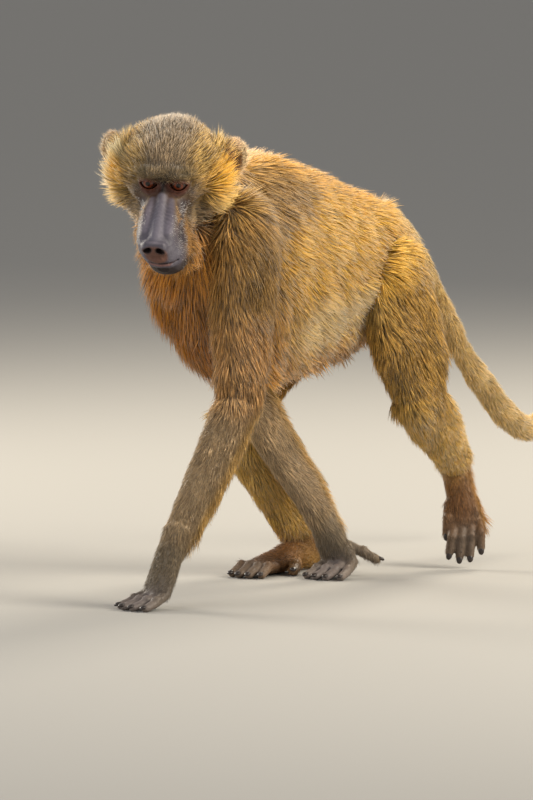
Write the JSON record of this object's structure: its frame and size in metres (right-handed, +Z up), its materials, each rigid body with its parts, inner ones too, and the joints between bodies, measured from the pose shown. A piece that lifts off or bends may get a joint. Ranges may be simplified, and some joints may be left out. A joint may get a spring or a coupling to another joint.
{
  "type": "walking young baboon",
  "caption": "Still, life-size model of a young guinea baboon in mid stride, in short olive and gold fur, its head turned and its tail carried down behind it.",
  "frame": {"origin": "middle of the bounding box at floor level", "axes": "+Y toward the tail, so the animal walks toward -Y; +X toward its own left side; +Z up"},
  "size_m": [0.2088, 0.813, 0.4833],
  "materials": {
    "body_coat": "short to medium golden fur, olive on the shoulders, paler under the flank",
    "limb_coat": "short olive-brown fur with fine yellow ticks",
    "face": "olive-gold fur round a bare slate-grey face",
    "hand_skin": "thinly furred grey-brown skin",
    "eye": "amber iris, dark pupil, moist and glossy"
  },
  "bodies": {
    "root": {"head": "face", "neck": "body_coat", "torso": "body_coat", "tail": "body_coat", "tail_end": "body_coat", "upper_arm_left": "limb_coat", "upper_arm_right": "limb_coat", "forearm_left": "limb_coat", "forearm_right": "limb_coat", "hand_left": "hand_skin", "hand_right": "hand_skin", "thigh_left": "body_coat", "thigh_right": "body_coat", "shank_left": "limb_coat", "shank_right": "limb_coat", "foot_left": "hand_skin", "foot_right": "hand_skin", "ear_left": "body_coat", "ear_right": "body_coat", "eye_left": "eye", "eye_right": "eye"}
  },
  "joints": []
}
